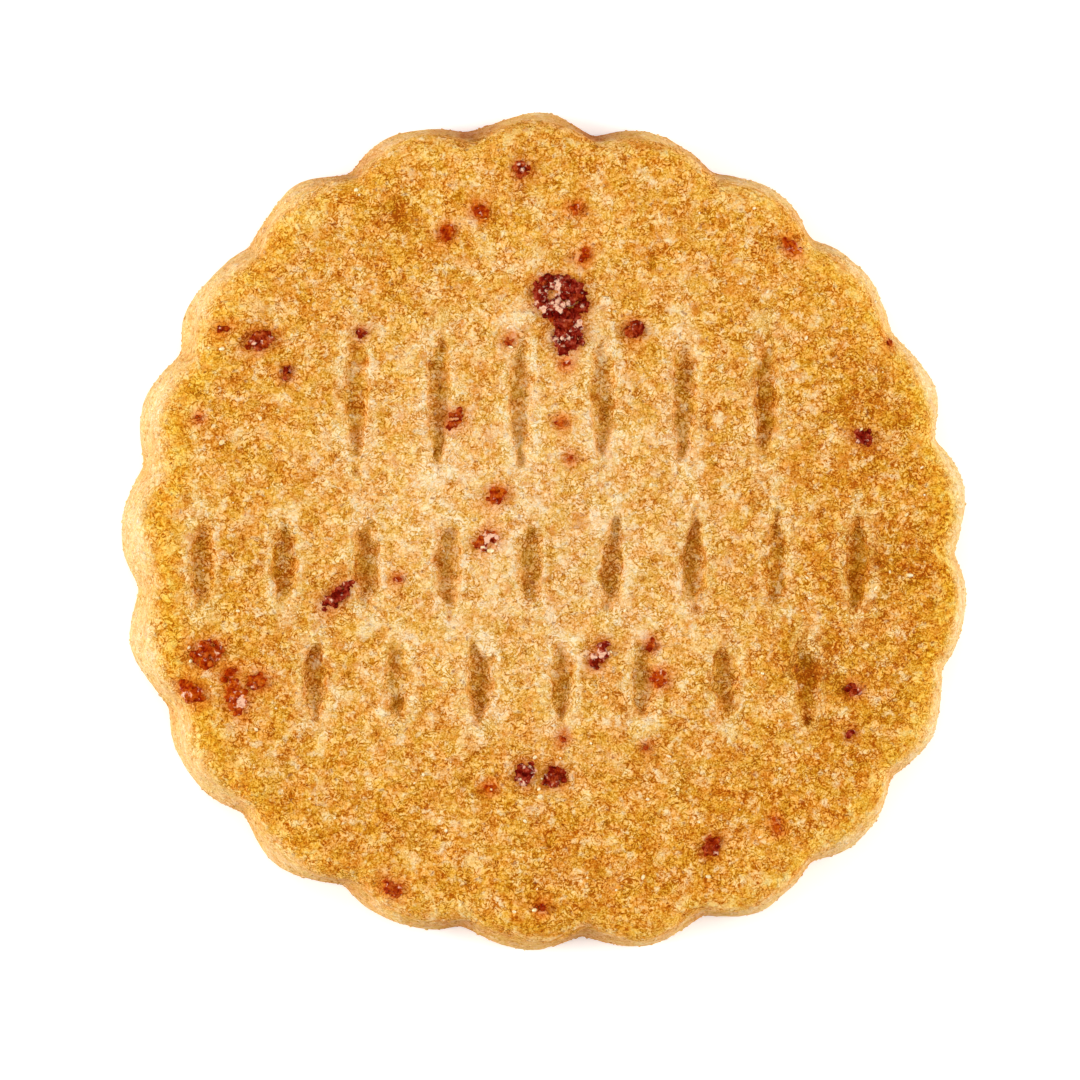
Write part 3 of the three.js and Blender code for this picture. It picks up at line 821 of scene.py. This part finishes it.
def fruit_piece(material, middle):
    """All the dried fruit: each bit is a ragged mass of sticky lumps, with a few crumbs of it round about."""
    rng = np.random.default_rng(FRUIT_SEED)
    places, sizes, tints, frosts = [], [], [], []
    for x, y, length, width, turn, tint in FRUIT + FRUIT_SPECKS:
        a = math.radians(turn)
        for _ in range(max(LUMPS_AT_LEAST, round(length * width / FRUIT_LUMP**2 * LUMPS_IN_ONE))):
            out = LUMPS_REACH * math.sqrt(rng.uniform(0, 1))
            around = rng.uniform(0, 2 * math.pi)
            radius = min(0.45 * width, FRUIT_LUMP * rng.uniform(*LUMP_SIZES)) * (1.1 - 0.5 * out)
            along = (length - radius) / 2 * out * math.cos(around)
            across = (width - radius) / 2 * out * math.sin(around)
            px = x + along * math.cos(a) - across * math.sin(a)
            py = y + along * math.sin(a) + across * math.cos(a)
            rise = FRUIT_RISE * width * max(0, 1 - out**2) - LUMP_SUNK * radius
            places.append((px - middle[0], py - middle[1], top_height(px, py) - edge_drop(px, py) + rise))
            sizes.append(radius)
            tints.append(np.clip(tint + rng.normal(0, TINT_SPREAD), 0, 1))
            dust = max(hump(math.hypot(px - fx, py - fy), reach) for fx, fy, reach in FROSTED)
            frosts.append(rng.uniform(*FROST) + FROSTED_MORE * dust)
    mesh = field_mesh("fruit_points", places, size=sizes, tint=tints, frost=frosts)
    return apply_geometry("fruit_bits", mesh, fruit_masses(material), FRUIT_SIZES)


SUGAR_SIZES = {"Smallest": 0.10, "Largest": 0.28}  # shares of a crystal 1.2 mm across
SUGAR_SEEDS = {"size": 2, "turn": 4, "shape": 6}
SUGAR_SHAPES = {0: (0.6, 0.8, 0.6), 1: (1.0, 1.5, 1.0)}
SUGAR_RADIUS = 0.6
SUGAR_LIFT = 0.03
LARGE_CRYSTAL = 1.4
SMALL_CRYSTAL = 0.8
STREWN_SEED = 23
STREWN_CRYSTALS = 160
STREWN_REACH = 23.5
SUGAR = [  # where large crystals lie
    (-21.8, -7.1), (-17.7, -12.1), (-11.6, 20.8), (-4.8, 21.6), (-19.8, 11.1), (-20.3, 6.4), (-19.8, 5.4),
    (-0.7, -13.8), (-0.4, -16.2), (-1.3, -17.7), (20.1, -3.5), (16.1, -4.1), (22.2, -2.7), (22.0, 1.0),
    (21.0, -2.5), (9.9, -21.1), (-3.9, -1.0), (-3.1, -0.8), (-3.4, -1.2),
]


def sugar_crystals(material):
    """Sets a small faceted crystal at each point, turned any way."""
    tree, inputs, outputs = start_geometry("sugar_crystals", SUGAR_SIZES)
    size = inputs.outputs
    crystal = add(tree, "GeometryNodeMeshIcoSphere", SUGAR_RADIUS * MM, 1)
    growth = add(tree, "GeometryNodeInputNamedAttribute", "growth", data_type="FLOAT")
    drawn = {2: size["Smallest"], 3: size["Largest"], "Seed": SUGAR_SEEDS["size"]}
    grown = add(tree, "FunctionNodeRandomValue", at=drawn, **NUMBERS)
    grown = add(tree, "ShaderNodeMath", grown, growth, operation="MULTIPLY")
    turn = add(tree, "FunctionNodeRandomValue", at=ANY_TURN | {"Seed": SUGAR_SEEDS["turn"]}, **VECTORS)
    turn = add(tree, "FunctionNodeEulerToRotation", turn)
    shape = add(tree, "FunctionNodeRandomValue", at=SUGAR_SHAPES | {"Seed": SUGAR_SEEDS["shape"]}, **VECTORS)
    scale = add(tree, "ShaderNodeVectorMath", shape, operation="SCALE", at={"Scale": grown})
    placed = add(tree, "GeometryNodeInstanceOnPoints", size["Geometry"],
                 at={"Instance": crystal, "Rotation": turn, "Scale": scale})
    return finish_geometry(tree, outputs, placed, material)


def sugar_piece(material, middle):
    """Sugar crystals: the large ones where they show, and small ones strewn over the top."""
    rng = np.random.default_rng(STREWN_SEED)
    places = list(SUGAR)
    for _ in range(STREWN_CRYSTALS):
        angle = rng.uniform(0, 2 * math.pi)
        r = STREWN_REACH * math.sqrt(rng.uniform(0, 1))
        places.append((r * math.cos(angle), r * math.sin(angle)))
    growth = [LARGE_CRYSTAL] * len(SUGAR) + [SMALL_CRYSTAL] * STREWN_CRYSTALS
    x, y = np.array(places).T
    depth, _ = press_marks(x, y)
    z = top_height(x, y) - edge_drop(x, y) - depth + SUGAR_LIFT
    placed = np.stack([x - middle[0], y - middle[1], z], axis=1) * MM
    mesh = field_mesh("sugar_points", placed.tolist(), growth=growth)
    return apply_geometry("sugar_crystals", mesh, sugar_crystals(material), SUGAR_SIZES)


# The photograph's framing: 1080 pixels across, and where the biscuit's middle lies in it
PHOTO_WIDTH = 1080
PHOTO_SCALE = 16.3  # pixels for each millimetre
PHOTO_MIDDLE = (545, 531.5)
CAMERA_HEIGHT = 600
CAMERA_LEAN = 1.5  # degrees towards -X
SENSOR = 36


def camera():
    """Looks straight down on the marked side, leaning a little so that the wall at -X shows."""
    data = bpy.data.cameras.new("camera")
    data.sensor_width = SENSOR
    data.lens = SENSOR * CAMERA_HEIGHT / (PHOTO_WIDTH / PHOTO_SCALE)
    data.clip_start = 0.01
    data.clip_end = 10
    seen = bpy.data.objects.new("camera", data)
    bpy.context.scene.collection.objects.link(seen)
    half = PHOTO_WIDTH / 2
    across = (half - PHOTO_MIDDLE[0]) / PHOTO_SCALE
    up = (PHOTO_MIDDLE[1] - half) / PHOTO_SCALE
    target = Vector((across, up, THICKNESS / 2)) * MM
    lean = math.radians(CAMERA_LEAN)
    seen.location = target + Vector((-math.sin(lean), 0, math.cos(lean))) * CAMERA_HEIGHT * MM
    seen.rotation_euler = (0, -lean, 0)
    bpy.context.scene.camera = seen


# Lights: name, azimuth and elevation in degrees, distance and size in metres, power in watts
SOFTBOXES = [
    ("left_softbox", 180, 24, 0.9, 0.5, 6.0),
    ("right_softbox", 0, 24, 0.9, 0.5, 5.0),
    ("top_softbox", 90, 85, 1.1, 0.7, 3.9),
]
FLOOR_HALF = 1.5


def softbox(name, azimuth, elevation, distance, size, power):
    """A square soft white light that faces the biscuit."""
    data = bpy.data.lights.new(name, "AREA")
    data.size = size
    data.energy = power
    data.color = linear("#ffffff")[:3]
    lamp = bpy.data.objects.new(name, data)
    a, e = math.radians(azimuth), math.radians(elevation)
    towards = Vector((math.cos(e) * math.cos(a), math.cos(e) * math.sin(a), math.sin(e)))
    lamp.location = towards * distance
    lamp.rotation_euler = towards.to_track_quat("Z", "Y").to_euler()
    bpy.context.scene.collection.objects.link(lamp)


def white_paper():
    """Matt white paper, lit a little from behind so that it stays white in the picture."""
    material, _, shader, _ = start_material("white_paper")
    set_inputs(shader, {
        "Base Color": linear("#fcfcfc"), "Roughness": 0.9,
        "Emission Color": linear("#ffffff"), "Emission Strength": 0.25,
    })
    return material


def studio():
    """Pale floor, a soft light on each side and a weak one above."""
    corners = [(-FLOOR_HALF, -FLOOR_HALF, 0), (FLOOR_HALF, -FLOOR_HALF, 0),
               (FLOOR_HALF, FLOOR_HALF, 0), (-FLOOR_HALF, FLOOR_HALF, 0)]
    mesh = bpy.data.meshes.new("floor")
    mesh.from_pydata(corners, [], [(0, 1, 2, 3)])
    mesh.materials.append(white_paper())
    floor = bpy.data.objects.new("floor", mesh)
    bpy.context.scene.collection.objects.link(floor)
    for settings in SOFTBOXES:
        softbox(*settings)
    world = bpy.data.worlds.new("studio")
    bpy.context.scene.world = world
    world.use_nodes = True
    background = world.node_tree.nodes["Background"]
    background.inputs["Color"].default_value = linear("#ffffff")
    background.inputs["Strength"].default_value = 0.32
    bpy.context.scene.view_settings.view_transform = "Standard"


dough_material = baked_short_dough()
dough, middle = dough_piece(dough_material)
grains = apply_geometry("crumb_grains", dough.data.copy(), crumb_grains(dough_material), GRAIN_SIZES)
fruit = fruit_piece(dried_fruit(), middle)
crystals = sugar_piece(sugar(), middle)
for piece, slot_name in ((dough, "shortbread"), (grains, "shortbread"), (fruit, "dried_fruit"), (crystals, "sugar")):
    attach(piece, "root")
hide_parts("biscuit")
studio()
camera()
